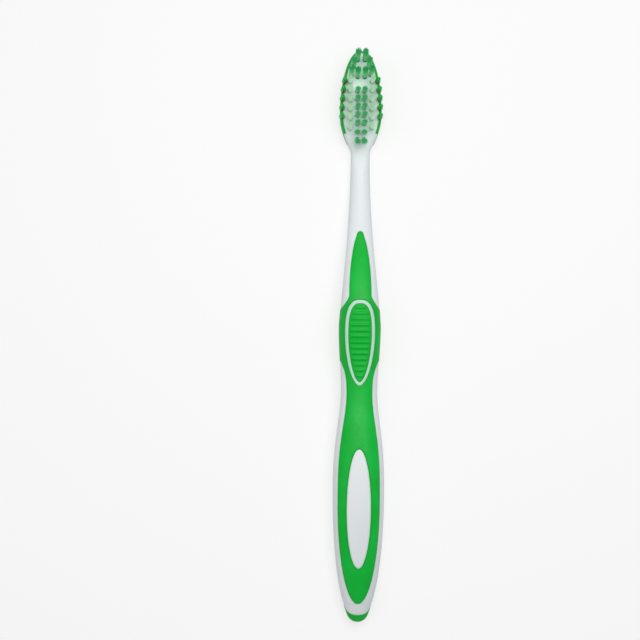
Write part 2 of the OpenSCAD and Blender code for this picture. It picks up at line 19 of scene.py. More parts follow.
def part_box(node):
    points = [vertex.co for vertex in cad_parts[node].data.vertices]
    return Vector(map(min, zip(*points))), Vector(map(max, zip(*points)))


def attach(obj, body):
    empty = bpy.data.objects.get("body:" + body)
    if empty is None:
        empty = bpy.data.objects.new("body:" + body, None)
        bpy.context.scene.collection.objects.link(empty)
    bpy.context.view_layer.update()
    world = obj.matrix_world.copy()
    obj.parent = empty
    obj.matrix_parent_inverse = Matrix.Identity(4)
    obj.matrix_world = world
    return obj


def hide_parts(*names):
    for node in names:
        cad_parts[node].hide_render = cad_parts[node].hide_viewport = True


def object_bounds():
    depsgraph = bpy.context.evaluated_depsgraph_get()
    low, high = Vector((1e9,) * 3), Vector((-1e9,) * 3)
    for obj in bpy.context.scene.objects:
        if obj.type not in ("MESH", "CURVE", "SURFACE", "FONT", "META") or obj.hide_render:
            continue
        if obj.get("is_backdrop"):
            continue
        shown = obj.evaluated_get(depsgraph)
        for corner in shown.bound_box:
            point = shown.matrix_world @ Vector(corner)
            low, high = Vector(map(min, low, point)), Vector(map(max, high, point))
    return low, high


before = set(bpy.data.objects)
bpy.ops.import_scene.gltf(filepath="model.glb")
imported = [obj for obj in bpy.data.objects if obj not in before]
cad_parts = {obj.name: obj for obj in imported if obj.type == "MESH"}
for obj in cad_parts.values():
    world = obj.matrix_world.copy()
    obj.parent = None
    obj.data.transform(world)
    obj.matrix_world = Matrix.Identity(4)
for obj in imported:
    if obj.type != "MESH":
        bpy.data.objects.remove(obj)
cad_low, cad_high = (Vector(corner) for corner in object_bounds())
MM = 0.001
print("nodes:", len(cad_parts), " size in mm:", [round(side / MM, 1) for side in cad_high - cad_low])

# %% [markdown]
# ## The camera
#
# The photograph looks straight at the bristle side. The camera is a long lens, 0.43 m over the brush. It
# stands a little to one side, because the brush isn't in the middle of the picture, and it is rolled by
# the slight lean of the brush. No lens shift is needed for that.

# %% A camera straight above the brush
PHOTO_SIDE_PX = 640
MM_PER_PX = 0.3272
BRUSH_MIDDLE_PX = Vector((359.6, 337.2))
BRUSH_LEAN = math.radians(0.39)
CAMERA_AWAY = 430 * MM
SENSOR = 36

photo_side = PHOTO_SIDE_PX * MM_PER_PX * MM
camera_data = bpy.data.cameras.new("camera")
camera_data.sensor_width = SENSOR
camera_data.lens = SENSOR * CAMERA_AWAY / photo_side
camera_data.clip_start = 10 * MM
camera = bpy.data.objects.new("camera", camera_data)
off_middle = Vector((PHOTO_SIDE_PX / 2, PHOTO_SIDE_PX / 2)) - BRUSH_MIDDLE_PX
beside = Matrix.Rotation(BRUSH_LEAN, 2) @ Vector((off_middle.x, -off_middle.y)) * MM_PER_PX * MM
camera.location = (beside.x, beside.y, cad_high.z / 2 + CAMERA_AWAY)
camera.rotation_euler = (0, 0, BRUSH_LEAN)
bpy.context.scene.collection.objects.link(camera)
bpy.context.scene.camera = camera
print("lens in mm:", round(camera_data.lens, 1))

# %% [markdown]
# ## Light, floor and backdrop
#
# The photograph is lit softly from above the head end, on white, and it gets darker towards the tail. One
# large lamp near the head and a weak one from the side do that, and an even sky fills the shadows. The
# floor and the sky are white only where the camera, a reflection or a view through plastic meets them.
# Part of the floor stays ordinary paint, so that it keeps the shadow under the brush.

# %% Lamps
def soft_lamp(name, place, side, watts):
    """A square lamp that looks at the middle of the brush."""
    lamp_data = bpy.data.lights.new(name, "AREA")
    lamp_data.size = side
    lamp_data.energy = watts
    lamp = bpy.data.objects.new(name, lamp_data)
    lamp.location = place
    lamp.rotation_euler = Vector(place).to_track_quat("Z", "Y").to_euler()
    bpy.context.scene.collection.objects.link(lamp)


soft_lamp("head_lamp", (0.04, 0.11, 0.40), 0.24, 1.2)
soft_lamp("side_lamp", (-0.35, 0.05, 0.50), 0.30, 0.35)

# %% Sky and floor
SKY_LEVEL = 0.26
FLOOR_SHADOW_SHARE = 0.3


def seen_directly(nodes, links):
    """A socket that is 1 for camera, mirror and see-through rays, and 0 for light."""
    path = nodes.new("ShaderNodeLightPath")
    total = path.outputs["Is Camera Ray"]
    for ray in ("Is Glossy Ray", "Is Transmission Ray"):
        either = nodes.new("ShaderNodeMath")
        either.operation = "MAXIMUM"
        links.new(total, either.inputs[0])
        links.new(path.outputs[ray], either.inputs[1])
        total = either.outputs[0]
    return total


def make_sky():
    world = bpy.data.worlds.new("sky")
    bpy.context.scene.world = world
    world.use_nodes = True
    nodes, links = world.node_tree.nodes, world.node_tree.links
    level = nodes.new("ShaderNodeMapRange")
    level.inputs["To Min"].default_value = SKY_LEVEL
    links.new(seen_directly(nodes, links), level.inputs["Value"])
    nodes["Background"].inputs["Color"].default_value = (1, 1, 1, 1)
    links.new(level.outputs["Result"], nodes["Background"].inputs["Strength"])


def make_floor():
    bm = bmesh.new()
    bmesh.ops.create_grid(bm, x_segments=1, y_segments=1, size=1.5)
    mesh = bpy.data.meshes.new("floor")
    bm.to_mesh(mesh)
    bm.free()
    floor = bpy.data.objects.new("floor", mesh)
    bpy.context.scene.collection.objects.link(floor)
    coat = bpy.data.materials.new("floor_white")
    coat.use_nodes = True
    nodes, links = coat.node_tree.nodes, coat.node_tree.links
    nodes["Principled BSDF"].inputs["Base Color"].default_value = (0.9, 0.9, 0.9, 1)
    nodes["Principled BSDF"].inputs["Roughness"].default_value = 0.9
    glow = nodes.new("ShaderNodeEmission")
    share = nodes.new("ShaderNodeMath")
    share.operation = "MULTIPLY"
    share.inputs[1].default_value = 1 - FLOOR_SHADOW_SHARE
    mix = nodes.new("ShaderNodeMixShader")
    links.new(seen_directly(nodes, links), share.inputs[0])
    links.new(share.outputs[0], mix.inputs["Fac"])
    links.new(nodes["Principled BSDF"].outputs["BSDF"], mix.inputs[1])
    links.new(glow.outputs["Emission"], mix.inputs[2])
    links.new(mix.outputs["Shader"], nodes["Material Output"].inputs["Surface"])
    mesh.materials.append(coat)
    floor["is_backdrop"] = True


make_sky()
make_floor()
bpy.context.scene.view_settings.view_transform = "Standard"
print("sky and floor made")

# %% [markdown]
# ## Finishes
#
# Moulded plastic is never one flat colour. The white moulding has a soft gloss, with the faint flow marks
# and fine scratches of a polished mould, and painted green light where soft plastic lies close to it, on
# the ring and on the face of the head. The soft plastic has a satin, slightly grainy skin, with painted
# shade that makes it darker towards its rim. The filaments are see-through nylon: pale from the side, and
# deep where one looks down into their cut ends, with painted shade at their roots and a faint painted glow.
# All patterns read Object coordinates or values that are stored on the mesh, such as the distance to a rim.

# %% Colours and small helpers for finishes
def paint(red, green, blue):
    """A colour that was read from a screen, 0 to 255, as the linear colour that a shader wants."""
    def linear(value):
        share = value / 255
        return share / 12.92 if share <= 0.04045 else ((share + 0.055) / 1.055) ** 2.4
    return (linear(red), linear(green), linear(blue), 1)


def new_finish(name, roughness, **sockets):
    finish = bpy.data.materials.new(name + "_finish")
    finish.use_nodes = True
    shader = finish.node_tree.nodes["Principled BSDF"]
    shader.inputs["Roughness"].default_value = roughness
    for socket, value in sockets.items():
        shader.inputs[socket.replace("_", " ")].default_value = value
    return finish


def noise(finish, scale, detail=3.0, stretch=(1, 1, 1)):
    """A noise pattern on Object coordinates: scale is how many lumps lie on a metre."""
    nodes, links = finish.node_tree.nodes, finish.node_tree.links
    place = nodes.new("ShaderNodeTexCoord")
    turned = nodes.new("ShaderNodeMapping")
    turned.inputs["Scale"].default_value = stretch
    lumps = nodes.new("ShaderNodeTexNoise")
    lumps.inputs["Scale"].default_value = scale
    lumps.inputs["Detail"].default_value = detail
    links.new(place.outputs["Object"], turned.inputs["Vector"])
    links.new(turned.outputs["Vector"], lumps.inputs["Vector"])
    return lumps.outputs["Fac"]


def stored(finish, name):
    """A value that is stored on the mesh."""
    reader = finish.node_tree.nodes.new("ShaderNodeAttribute")
    reader.attribute_name = name
    return reader.outputs["Fac"]


def ranged(finish, value, low, high, to_low=0.0, to_high=1.0):
    """The value, brought from the range low to high to another range."""
    node = finish.node_tree.nodes.new("ShaderNodeMapRange")
    node.interpolation_type = "SMOOTHSTEP"
    for socket, number in (("From Min", low), ("From Max", high), ("To Min", to_low), ("To Max", to_high)):
        node.inputs[socket].default_value = number
    finish.node_tree.links.new(value, node.inputs["Value"])
    return node.outputs["Result"]


def blended(finish, share, first, second):
    """A colour between two others, each a colour or the output of another blend."""
    mix = finish.node_tree.nodes.new("ShaderNodeMix")
    mix.data_type = "RGBA"
    finish.node_tree.links.new(share, mix.inputs["Factor"])
    for socket, colour in ((mix.inputs[6], first), (mix.inputs[7], second)):
        if isinstance(colour, tuple):
            socket.default_value = colour
        else:
            finish.node_tree.links.new(colour, socket)
    return mix.outputs[2]


def wire(finish, output, socket):
    finish.node_tree.links.new(output, finish.node_tree.nodes["Principled BSDF"].inputs[socket])


def bumps(finish, height, depth, strength=1.0):
    """Shallow relief from a pattern: depth is in metres."""
    nodes, links = finish.node_tree.nodes, finish.node_tree.links
    bump = nodes.new("ShaderNodeBump")
    bump.inputs["Distance"].default_value = depth
    bump.inputs["Strength"].default_value = strength
    links.new(height, bump.inputs["Height"])
    links.new(bump.outputs["Normal"], nodes["Principled BSDF"].inputs["Normal"])


# %% Hard and soft plastic
WHITE = paint(233, 236, 238)
WHITE_COOL = paint(225, 231, 234)
PAINTED_MINT_LIGHT = paint(150, 216, 178)
GREEN = paint(0, 174, 50)
GREEN_LIT = paint(8, 184, 62)
GREEN_RIM_SHADE = paint(0, 134, 30)
DEEP_GREEN = paint(0, 118, 44)
DEEP_GREEN_LIT = paint(10, 136, 54)


def white_plastic():
    finish = new_finish("white_plastic", 0.4, Specular_IOR_Level=0.3)
    flow = noise(finish, 60, 2, (1, 0.25, 1))
    base = blended(finish, ranged(finish, flow, 0.3, 0.7), WHITE, WHITE_COOL)
    # Painted green light: the white turns mint near soft plastic, along the ring and on the head's face.
    wire(finish, blended(finish, stored(finish, "painted_green_light"), base, PAINTED_MINT_LIGHT), "Base Color")
    wire(finish, ranged(finish, noise(finish, 900, 4, (1, 0.2, 1)), 0.3, 0.75, 0.34, 0.48), "Roughness")
    bumps(finish, noise(finish, 2500), 0.004 * MM)
    return finish


def soft_plastic(name, main, lit, rim, roughness):
    finish = new_finish(name, roughness, Specular_IOR_Level=0.2)
    cloudy = blended(finish, ranged(finish, noise(finish, 90, 3), 0.35, 0.7), main, lit)
    # Painted shade: the green goes darker towards the rim of each soft piece.
    wire(finish, blended(finish, stored(finish, "rim"), cloudy, rim), "Base Color")
    worn = ranged(finish, noise(finish, 700, 3), 0.3, 0.7, roughness - 0.05, roughness + 0.09)
    wire(finish, worn, "Roughness")
    bumps(finish, noise(finish, 5200, 2), 0.012 * MM)
    return finish


white = white_plastic()
green_soft = soft_plastic("green_soft", GREEN, GREEN_LIT, GREEN_RIM_SHADE, 0.4)
# Its third colour is the painted shade in the cleaner's grooves.
deep_green_soft = soft_plastic("deep_green_soft", DEEP_GREEN, DEEP_GREEN_LIT, paint(0, 92, 36), 0.46)
print("plastics:", white.name, green_soft.name, deep_green_soft.name)

# %% Nylon and brass
def nylon(name, shaft, shaft_dark, cut_end, root, painted_glow):
    """Filaments: a pale shaft, each a little different, a deeper cut end and painted shade at the root, in
    the hole.

    A faint painted glow all along each filament stands for light it pipes, and lightens shade in the tuft.
    """
    finish = new_finish(name, 0.3, Specular_IOR_Level=0.5, Emission_Strength=painted_glow)
    each = blended(finish, stored(finish, "tone"), shaft, shaft_dark)
    ended = blended(finish, stored(finish, "cut_end"), each, cut_end)
    # Painted shade at the roots: filaments go dark teal from 1.6 mm above the face down into the hole.
    rooted = blended(finish, ranged(finish, stored(finish, "height_mm"), 1.6, 0.2), ended, root)
    wire(finish, rooted, "Base Color")
    # Painted glow: the filaments give off a little light in their own colour.
    wire(finish, rooted, "Emission Color")
    wire(finish, ranged(finish, noise(finish, 3000), 0.3, 0.7, 0.24, 0.4), "Roughness")
    return finish


def anchor_metal():
    finish = new_finish("anchor_brass", 0.32, Metallic=1.0)
    rolled = noise(finish, 4000, 4, (1, 1, 0.15))
    wire(finish, blended(finish, rolled, paint(214, 180, 108), paint(178, 140, 74)), "Base Color")
    wire(finish, ranged(finish, rolled, 0.3, 0.7, 0.25, 0.42), "Roughness")
    return finish


PALE_SHAFT, PALE_SHAFT_DARK, PALE_END = paint(214, 226, 212), paint(172, 206, 178), paint(160, 200, 168)
GREEN_SHAFT, GREEN_SHAFT_DARK, GREEN_END = paint(110, 190, 123), paint(52, 168, 98), paint(10, 150, 84)
nylon_pale = nylon("nylon_pale", PALE_SHAFT, PALE_SHAFT_DARK, PALE_END, paint(30, 132, 112), 0.3)
nylon_green = nylon("nylon_green", GREEN_SHAFT, GREEN_SHAFT_DARK, GREEN_END, paint(6, 96, 88), 0.35)
brass = anchor_metal()
print("filament and anchor finishes:", nylon_pale.name, nylon_green.name, brass.name)

# %% [markdown]
# ## The form of the body
#
# The long body has no straight stretch. Its width, thickness and centre line each run smoothly through a
# few stations, and every cross section is a rounded oblong, nearly oval on the handle and nearly square
# at the head. So the body is described by short functions of the distance y from the tail, in
# millimetres. They are the same ones that the part's own source uses, which keeps both models alike.

# %% Driving sizes of the brush, in millimetres
overall_l = round((cad_high.y - cad_low.y) / MM, 3)
rest_flat = 0.15
grip_w, grip_t, tail_rise = 16.9, 14, 4.7
waist_w, waist_t, waist_rise = 11.9, 8.7, 7.3
thumb_w, thumb_t, bend_rise = 13.5, 9.9, 10.8
neck_w, neck_t, neck_to_head, throat_t = 6.2, 5.9, 10, 6.5
head_w, head_l, head_wide_from_tip = 13.6, 30, 20.5
nose_t, head_t, head_rise, head_slope = 6, 4.9, 6.4, math.radians(3.6)
nose_round = 1.3
handle_squareness, head_squareness = 2.4, 6
tail_round_w, tail_round_t = 3.4, 2.2

head_y = overall_l - head_l
neck_y = head_y - neck_to_head
shoulder_y = head_y - 2.8
head_wide_y = overall_l - head_wide_from_tip
grip_y = 0.297 * neck_y
print("head from", head_y, "to", overall_l, " neck at", neck_y, " grip at", round(grip_y, 2))

# %% Stations: place along the brush, size there, and how early the change to the next size comes
widths = [
    (grip_y, grip_w, 1.34),
    (0.517 * neck_y, waist_w, 1),
    (0.655 * neck_y, thumb_w, 0.7),
    (shoulder_y, neck_w, 0.64),
    (head_wide_y, head_w, 1),
]
thicknesses = [
    (grip_y, grip_t, 1.1),
    (0.568 * neck_y, waist_t, 1),
    (0.689 * neck_y, thumb_t, 1.25),
    (0.905 * neck_y, throat_t, 1),
    (neck_y, neck_t, 1),
]
centres = [
    (0, tail_rise, 0.62),
    (grip_y, grip_t / 2 - rest_flat, 1),
    (0.473 * neck_y, waist_rise, 1),
    (0.706 * neck_y, bend_rise, 0.84),
    (neck_y, neck_t / 2 - rest_flat, 1),
]


def clamp(value, low=0.0, high=1.0):
    return min(max(value, low), high)


def ease(share):
    return share * share * (3 - 2 * share)


def between(y, first, second):
    early = clamp((y - first[0]) / (second[0] - first[0])) ** first[2]
    return first[1] + (second[1] - first[1]) * ease(early)


def station(table, y):
    for first, second in zip(table, table[1:]):
        if y < second[0]:
            break
    return between(y, first, second)


def rounded(share, bow=2.0, power=2.0):
    """Share of full size at a rounded end: share is 0 at the end and 1 where the rounding stops."""
    return (1 - (1 - clamp(share)) ** bow) ** (1 / power)


print("width at the waist:", round(station(widths, 0.517 * neck_y), 2))

# %% Half width, front, back and middle of the body at y
BLEND_POWER = 12


def larger(first, second):
    """The larger of two sizes, with a smooth change from one to the other."""
    return (first**BLEND_POWER + second**BLEND_POWER) ** (1 / BLEND_POWER)


def blunt_end(radius, y):
    return radius * rounded(y / radius)


@lru_cache(maxsize=None)
def half_w(y):
    if y < grip_y:
        return larger(blunt_end(tail_round_w, y), grip_w / 2 * rounded(y / grip_y, 2.2, 2.1))
    if y > head_wide_y:
        return head_w / 2 * rounded((overall_l - y) / head_wide_from_tip, 2, 2.2)
    return station(widths, y) / 2


def half_t(y):
    if y < grip_y:
        return larger(blunt_end(tail_round_t, y), grip_t / 2 * rounded(y / grip_y, 1.8))
    return station(thicknesses, y) / 2


def nose_cut(y):
    past = nose_round - (overall_l - y)
    return nose_round - math.sqrt(nose_round**2 - clamp(past, 0, nose_round) ** 2)


@lru_cache(maxsize=None)
def front_z(y):
    into_head = ease(clamp((y - neck_y) / (head_y - neck_y)))
    face_z = head_rise + math.tan(head_slope) * (y - head_y)
    return (1 - into_head) * (station(centres, y) + half_t(y)) + into_head * face_z - nose_cut(y)


@lru_cache(maxsize=None)
def back_z(y):
    into_head = ease(clamp((y - neck_y) / (head_y - neck_y)))
    face_z = head_rise + math.tan(head_slope) * (y - head_y)
    return (1 - into_head) * (station(centres, y) - half_t(y)) + into_head * (face_z - nose_t) + nose_cut(y)


def middle_z(y):
    return (front_z(y) + back_z(y)) / 2


@lru_cache(maxsize=None)
def squareness(y):
    into_head = ease(clamp((y - neck_y + 2) / (head_y - neck_y + 5)))
    return handle_squareness + (head_squareness - handle_squareness) * into_head


def skin_point(y, turn):
    """A point of the body's surface. turn runs once round the section, from its +X side to the front."""
    power = squareness(y)
    across, up = math.cos(turn), math.sin(turn)
    reach = (abs(across) ** power + abs(up) ** power) ** (-1 / power)
    z = middle_z(y) + (front_z(y) - back_z(y)) / 2 * up * reach
    return Vector((half_w(y) * across * reach, y, max(z, 0)))


print("tip of the bend:", round(max(skin_point(y, math.pi / 2).z for y in range(80, 130)), 2))

# %% [markdown]
# ## Zones of soft plastic
#
# Which plastic shows where is a matter of outlines on that surface: the long front panel with its flare
# round the thumb rest, the oval window, the egg-shaped ring, the back panel with the side windows, and
# the soft surround of the head. Each zone is a function that is positive inside its outline and negative
# outside. Joining two zones is then a max, and cutting one out of another is a min. The flare's upper
# edge lies 0.4 mm nearer the tail than in the part's own source, so that it meets the soft back's edge.

# %% The front panel, the oval window and the egg
panel_start, panel_end = 6.5, 0.87 * neck_y
panel_grip_w, panel_waist_w, panel_neck_w = 13.8, 8.5, 7.3
panel_grip_y, panel_waist_y, panel_round_y = 0.27 * neck_y, 0.507 * neck_y, 0.723 * neck_y
flare_start_y, flare_full_y = 0.516 * neck_y, 0.631 * neck_y
flare_back_y, flare_end_y = 0.66 * neck_y, 0.726 * neck_y
flare_rise_power, flare_fall_power, full_width = 2.5, 1.3, 12
panel_tip_r, panel_tip_power = 1.1, 1.78
oval_l, oval_w, oval_y = 39, 7.9, 0.258 * neck_y
ring_w, ring_y, ring_up, ring_down, ring_line = 9.8, 0.642 * neck_y, 11.1, 16.7, 1.05
ring_up_power, ring_down_power = 2.7, 1.8


def flare(share, power):
    return clamp(share) ** power * (full_width - panel_waist_w / 2)


@lru_cache(maxsize=None)
def panel_half(y):
    if y < panel_grip_y:
        return panel_grip_w / 2 * rounded((y - panel_start) / (panel_grip_y - panel_start))
    if y < flare_back_y:
        straight = between(y, (panel_grip_y, panel_grip_w / 2, 1.7), (panel_waist_y, panel_waist_w / 2))
        return straight + flare((y - flare_start_y) / (flare_full_y - flare_start_y), flare_rise_power)
    from_end = panel_end - y
    end = panel_neck_w / 2 * rounded(from_end / (panel_end - panel_round_y), 2, panel_tip_power)
    fall = flare((flare_end_y - y) / (flare_end_y - flare_back_y), flare_fall_power)
    return larger(blunt_end(panel_tip_r, from_end), end) + fall


def past_ends(y, start, end):
    """How far y lies inside the stretch from start to end."""
    return min(y - start, end - y)


def front_panel(p):
    inside = min(panel_half(p.y) - abs(p.x), p.z - middle_z(p.y))
    return min(inside, past_ends(p.y, panel_start, panel_end))


def egg(p, inset=0.0):
    """The ring is blunt towards the head and nearly pointed towards the tail."""
    length, power = (ring_up, ring_up_power) if p.y > ring_y else (ring_down, ring_down_power)
    half = ring_w / 2 - inset
    reach = abs(p.x / half) ** power + abs((p.y - ring_y) / (length - inset)) ** power
    return (1 - reach ** (1 / power)) * half


def oval(p):
    return (1 - math.hypot(p.x * 2 / oval_w, (p.y - oval_y) * 2 / oval_l)) * oval_w / 2


print("front panel is", round(2 * panel_half(panel_grip_y), 1), "mm wide on the grip")

# %% The soft back of the handle, seen from the side
back_band = 1.7
cap_edge_y = 13.7
cap_edge = [(0, 1.3), (0.1, 0.78), (0.2, 0.64), (0.38, 0.44)]
cap_edge += [(0.5, 0.31), (0.7, 0.2), (1, 0.15), (1.2, 0.15)]
window_end_y, window_round = 0.584 * neck_y, 9
sleeve_edge_y, sleeve_round = 0.694 * neck_y, 4.9


def smooth_through(table, at):
    """Height of a smooth curve through a table of points."""
    for i in range(1, len(table) - 2):
        if at < table[i + 1][0]:
            break
    (x0, y0), (x1, y1), (x2, y2), (x3, y3) = table[i - 1:i + 3]
    share = clamp((at - x1) / (x2 - x1))
    slope1, slope2 = ((y2 - y0) / (x2 - x0) * (x2 - x1), (y3 - y1) / (x3 - x1) * (x2 - x1))
    blend = ease(share)
    bend = share * (1 - share) ** 2 * slope1 - share**2 * (1 - share) * slope2
    return y1 + (y2 - y1) * blend + bend


@lru_cache(maxsize=None)
def soft_back_z(y):
    """Height up to which the soft back reaches on the side of the handle."""
    if y < cap_edge_y:
        low = back_z(cap_edge_y)
        share = smooth_through([(-0.2, 3), *cap_edge], y / cap_edge_y)
        band_share = back_band / (front_z(cap_edge_y) - low)
        return low + (front_z(cap_edge_y) - low) * max(share, band_share)
    if y > window_end_y:
        return middle_z(y) + 1
    arc = math.sqrt(1 - clamp((y - window_end_y + window_round) / window_round) ** 2)
    return middle_z(y) - (middle_z(y) - back_z(y) - back_band) * arc


def soft_back(p):
    drop = clamp(middle_z(sleeve_edge_y) - p.z, 0, sleeve_round)
    edge_y = sleeve_edge_y + sleeve_round - math.sqrt(sleeve_round**2 - drop**2)
    return min(soft_back_z(p.y) - p.z, edge_y - p.y)


def sleeve_zone(p):
    soft = max(front_panel(p), soft_back(p))
    return min(soft, -egg(p), -oval(p)) if p.z > middle_z(p.y) else soft


def pad_zone(p):
    inside = egg(p, ring_line)
    return inside if p.z > middle_z(p.y) else min(inside, -1)


print("soft back reaches", round(soft_back_z(60) - back_z(60), 2), "mm up the side of the grip")

# %% The surround of the head, the fingers along its rim and the strip down the neck
face_frame = Matrix.Translation((0, head_y, head_rise)) @ Matrix.Rotation(head_slope, 4, "X")
to_face = face_frame.inverted()
face_l = head_l / math.cos(head_slope)
rim_t, head_skin = 0.8, 0.6
surround_y, surround_lap = head_y - 0.3, 3.3
surround_step_from, surround_step = 0.2, 0.52
strip_start_y, strip_round, strip_share = 0.745 * neck_y, 3, 0.68
fingers, finger_pitch, finger_h, finger_d = 5, 2.88, 7.5, 1.64
first_finger_from_tip, finger_set = 10, 0.5


def face_half_w(u):
    return half_w(head_y + u * math.cos(head_slope))


finger_places = []
for side in (-1, 1):
    for i in range(fingers):
        u = face_l - first_finger_from_tip - i * finger_pitch
        finger_places.append(Vector((side * (face_half_w(u) - finger_set), u, 0)))


def plate_zone(p):
    """The hard plate that shows on the bristle side, notched where the fingers stand."""
    on_face = to_face @ p
    inside = min(face_half_w(on_face.y) - rim_t - abs(on_face.x), on_face.z + 2, face_l - rim_t - on_face.y)
    if inside > -1:
        gaps = (math.hypot(on_face.x - f.x, on_face.y - f.y) - finger_d / 2 for f in finger_places)
        inside = min(inside, *gaps)
    return inside


def surround_zone(p):
    height_share = (p.z - back_z(surround_y)) / nose_t
    edge_y = surround_y + surround_lap * ease(clamp((height_share - surround_step_from) / surround_step))
    head = min(p.y - edge_y, -plate_zone(p))
    strip_half = strip_share * half_w(p.y) * rounded((p.y - strip_start_y) / strip_round)
    strip = min(strip_half - abs(p.x), middle_z(p.y) - p.z, p.y - strip_start_y + 0.01)
    return max(head, strip)


print("fingers:", len(finger_places), " face length:", round(face_l, 2))

# %% [markdown]
# ## The body's surface, with the outlines scored into it
#
# A ring of points is extruded row by row from the tail to the nose, and each row is put where the form
# says. A colour that changes inside a face would leave a ragged outline, so every outline is scored: an
# edge that crosses it is split exactly at the crossing, and the new points are joined across the faces.
# Two more lines just inside the outline and one just outside carry a small rounded lip, because soft
# plastic stands slightly proud of the hard plastic, with a fine groove between them.

# %% Extrude the surface row by row
COLUMNS = 128
ROW_GAP = 0.5
TAIL_ROUND, TAIL_ROWS, NOSE_ROWS = 6, 24, 52
pad_start, pad_l, pad_end_gap = 0.9, 21.4, 0.2
seat_from = head_y + (pad_start - pad_end_gap) * math.cos(head_slope)
seat_to = head_y + (pad_start + pad_l + pad_end_gap) * math.cos(head_slope)


def row_places():
    rows = [TAIL_ROUND * (i / TAIL_ROWS) ** 2 for i in range(TAIL_ROWS)]
    even = round((head_wide_y - TAIL_ROUND) / ROW_GAP)
    rows += [TAIL_ROUND + (head_wide_y - TAIL_ROUND) * i / even for i in range(even)]
    quarter = [math.pi / 2 * i / NOSE_ROWS for i in range(NOSE_ROWS + 1)]
    rows += [head_wide_y + head_wide_from_tip * math.sin(angle) for angle in quarter]
    rows += [seat_from - 0.04, seat_from + 0.04, seat_to - 0.04, seat_to + 0.04]
    return sorted(rows)


def points_of(geom):
    return [item for item in geom if isinstance(item, bmesh.types.BMVert)]


def extrude_away(bm, faces):
    """Extrude faces and delete the old ones, so that no wall stays inside. The new geometry is returned."""
    made = bmesh.ops.extrude_face_region(bm, geom=faces)["geom"]
    bmesh.ops.delete(bm, geom=faces, context="FACES")
    return made


def make_surface(rows):
    bm = bmesh.new()
    turn = bm.verts.layers.float.new("turn")
    ring = bmesh.ops.create_circle(bm, segments=COLUMNS, radius=1)["verts"]
    for v in ring:
        v[turn] = math.atan2(v.co.y, v.co.x)
    edges = bm.edges[:]
    for i, y in enumerate(rows):
        if i:
            made = bmesh.ops.extrude_edge_only(bm, edges=edges)["geom"]
            ring = points_of(made)
            edges = [item for item in made if isinstance(item, bmesh.types.BMEdge)]
        for v in ring:
            v.co = skin_point(y, v[turn])
    ends = [v for v in bm.verts if v.co.y < rows[0] + 1e-6 or v.co.y > rows[-1] - 1e-6]
    bmesh.ops.remove_doubles(bm, verts=ends, dist=0.002)
    bmesh.ops.recalc_face_normals(bm, faces=bm.faces)
    return bm


surface = make_surface(row_places())
print("surface:", len(surface.verts), "points,", sum(e.is_boundary for e in surface.edges), "open edges")

# %% Measure each zone on the surface, in millimetres from its outline
FAR_OUTSIDE = -3


def rim_distance(zone, p, along, beside):
    """The zone's value over its slope on the surface, which is about the distance to the outline."""
    value = zone(p)
    slope = math.hypot(
        (zone(along) - value) / max((along - p).length, 1e-6),
        (zone(beside) - value) / max((beside - p).length, 1e-6),
    )
    return value / max(slope, 0.25)


def measure_zone(bm, name, zone, from_y, to_y):
    layer, turn = bm.verts.layers.float.new(name), bm.verts.layers.float["turn"]
    for v in bm.verts:
        if from_y < v.co.y < to_y:
            ahead = skin_point(min(v.co.y + 0.05, overall_l), v[turn])
            beside = skin_point(v.co.y, v[turn] + 0.004)
            v[layer] = rim_distance(zone, v.co, ahead, beside)
        else:
            v[layer] = FAR_OUTSIDE


measure_zone(surface, "sleeve", sleeve_zone, -1, panel_end + 2)
measure_zone(surface, "pad", pad_zone, ring_y - ring_down - 1, ring_y + ring_up + 1)
measure_zone(surface, "surround", surround_zone, strip_start_y - 2, overall_l + 1)
print("zones:", [layer.name for layer in surface.verts.layers.float.values()][1:])

# %% Score the outlines and the lines of the lip
LIP_LEVELS = (-0.2, 0.0, 0.12, 0.36)
SOFT_PROUD, GROOVE = 0.12, 0.07


def score(bm, name, level):
    """Make one level of a zone's distance a line of edges."""
    layers = bm.verts.layers.float.values()
    layer = bm.verts.layers.float[name]
    for v in bm.verts:
        if abs(v[layer] - level) < 0.025:
            v[layer] = level
    crossing = [e for e in bm.edges if (e.verts[0][layer] - level) * (e.verts[1][layer] - level) < -1e-9]
    for edge in crossing:
        a, b = edge.verts
        share = (level - a[layer]) / (b[layer] - a[layer])
        values = [a[k] + share * (b[k] - a[k]) for k in layers]
        cut = bmesh.utils.edge_split(edge, a, share)[1]
        for k, value in zip(layers, values):
            cut[k] = value
        cut[layer] = level
    line = [v for v in bm.verts if abs(v[layer] - level) < 1e-5]
    bmesh.ops.connect_verts(bm, verts=line)


def lip_height(distance):
    """Height of the lip: a fine groove on the outline, and soft plastic that swells over its edge."""
    if distance < 0:
        return -GROOVE * clamp(1 + distance / -LIP_LEVELS[0])
    return -GROOVE + (SOFT_PROUD + GROOVE) * rounded(distance / LIP_LEVELS[-1])


ZONES = ("sleeve", "pad", "surround")
for zone_name in ZONES:
    for lip_level in LIP_LEVELS:
        score(surface, zone_name, lip_level)
surface.normal_update()
print("scored surface:", len(surface.faces), "faces")


# %% [markdown]
# ## The hard core
#
# The core is the whole surface, pressed in under each soft zone by the soft skin's thickness, which is how
# the second shot of plastic finds its bed. The pressed-in faces come from an extrusion, so the walls of
# the bed appear by themselves. On the face of the head the 34 blind holes are scored and extruded down.

# %% Helpers that pieces share
def value_of(face, layer):
    return sum(v[layer] for v in face.verts) / len(face.verts)


def save_normals(bm):
    """The surface's own normals, kept in the points because an extrusion would change them."""
    kept = bm.verts.layers.float_vector.new("outward")
    bm.normal_update()
    for v in bm.verts:
        v[kept] = v.normal
    return kept


def raise_lips(bm):
    layers = [bm.verts.layers.float[name] for name in ZONES]
    kept = bm.verts.layers.float_vector["outward"]
    for v in bm.verts:
        v.co += v[kept] * sum(lip_height(max(v[layer], -0.5)) for layer in layers if v[layer] > -0.3)
        v.co.z = max(v.co.z, 0)


